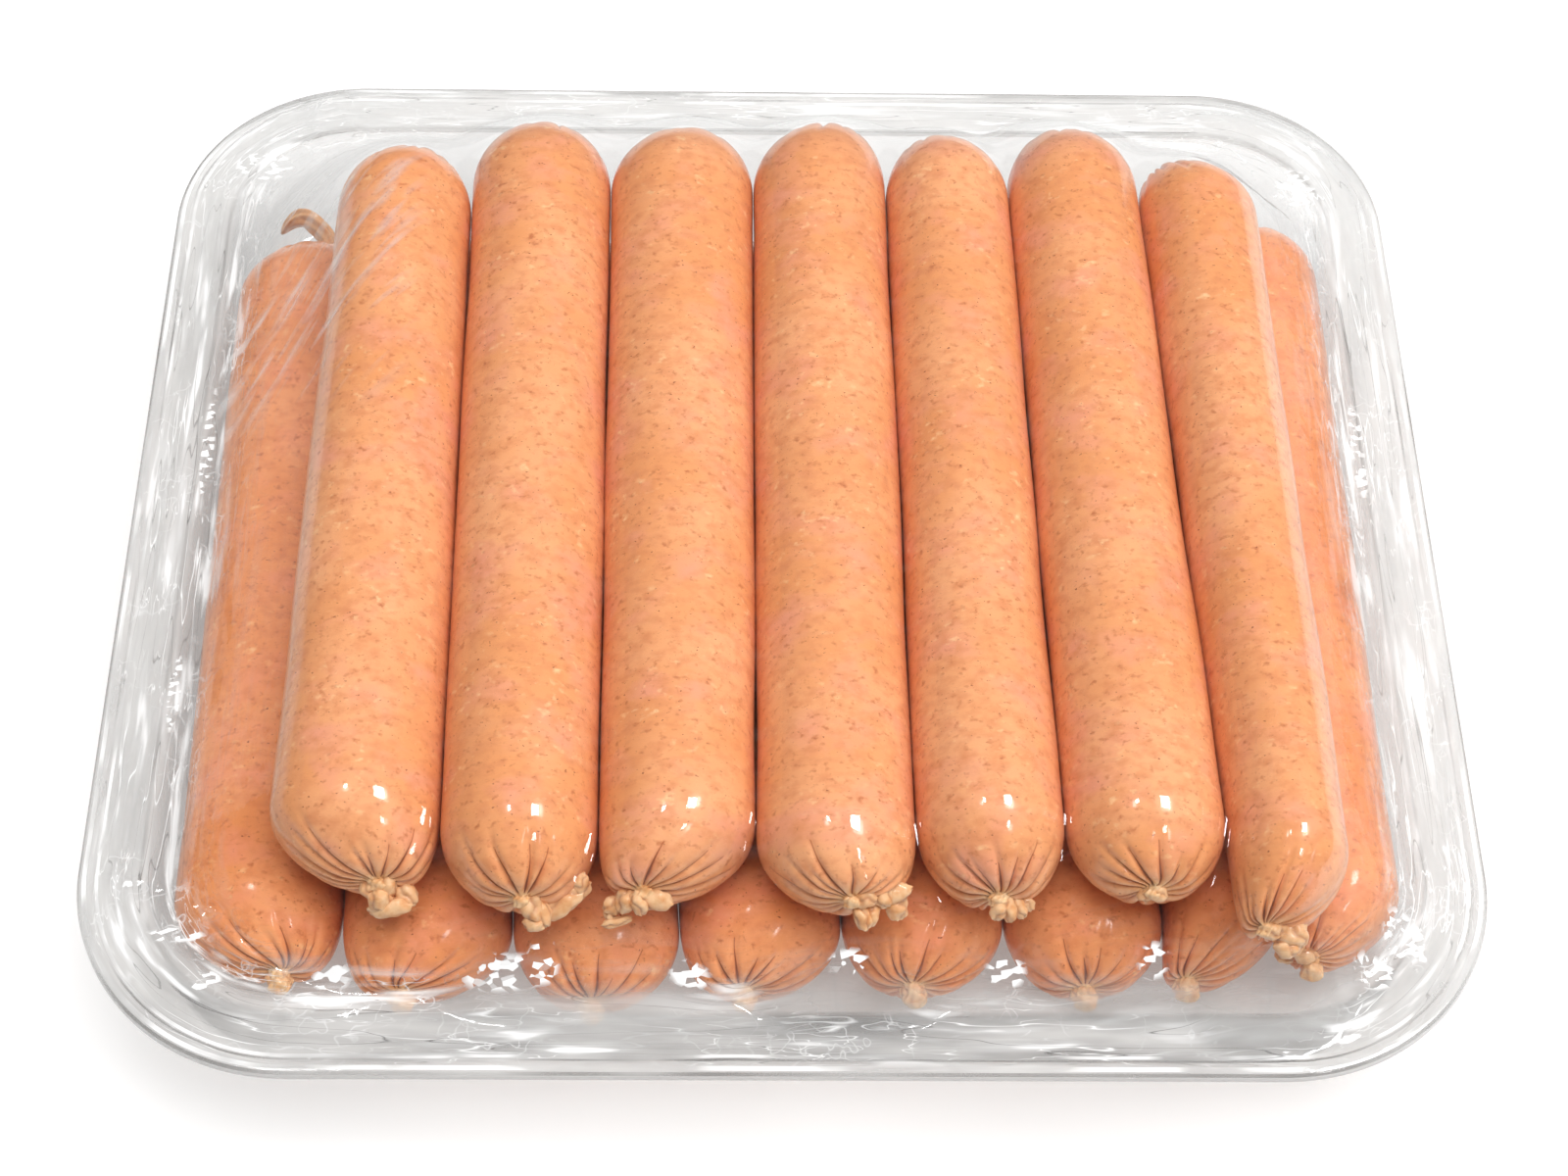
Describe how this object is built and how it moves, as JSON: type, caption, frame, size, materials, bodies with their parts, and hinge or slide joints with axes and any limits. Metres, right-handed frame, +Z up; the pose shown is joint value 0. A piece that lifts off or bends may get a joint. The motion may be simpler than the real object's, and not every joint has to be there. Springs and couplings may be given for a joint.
{
  "type": "clear tray of raw sausages under film",
  "caption": "Shallow clear plastic tray with a wide rounded flange, holding two nested layers of plump raw sausages with twisted casing ends under thin clear film.",
  "frame": {"origin": "middle of the tray's underside", "axes": "+X to the right along the tray's longer side, +Y from the front ends of the sausages to their back ends, +Z up"},
  "size_m": [0.258, 0.239, 0.0559],
  "materials": {
    "tray": "clear rigid sheet, glossy, thin, with a brighter edge along the bead",
    "film": "clear tight film, glossy, with fine wrinkles on the flange and white glints",
    "sausage": "damp peach-orange casing, mottled with fine specks and pale fat, pleated ends with pale twisted casing"
  },
  "bodies": {
    "root": {"tray": "tray", "sausage_bottom_1": "sausage", "sausage_bottom_2": "sausage", "sausage_bottom_3": "sausage", "sausage_bottom_4": "sausage", "sausage_bottom_5": "sausage", "sausage_bottom_6": "sausage", "sausage_bottom_7": "sausage", "sausage_bottom_8": "sausage", "sausage_top_1": "sausage", "sausage_top_2": "sausage", "sausage_top_3": "sausage", "sausage_top_4": "sausage", "sausage_top_5": "sausage", "sausage_top_6": "sausage", "sausage_top_7": "sausage", "film": "film"}
  },
  "joints": []
}
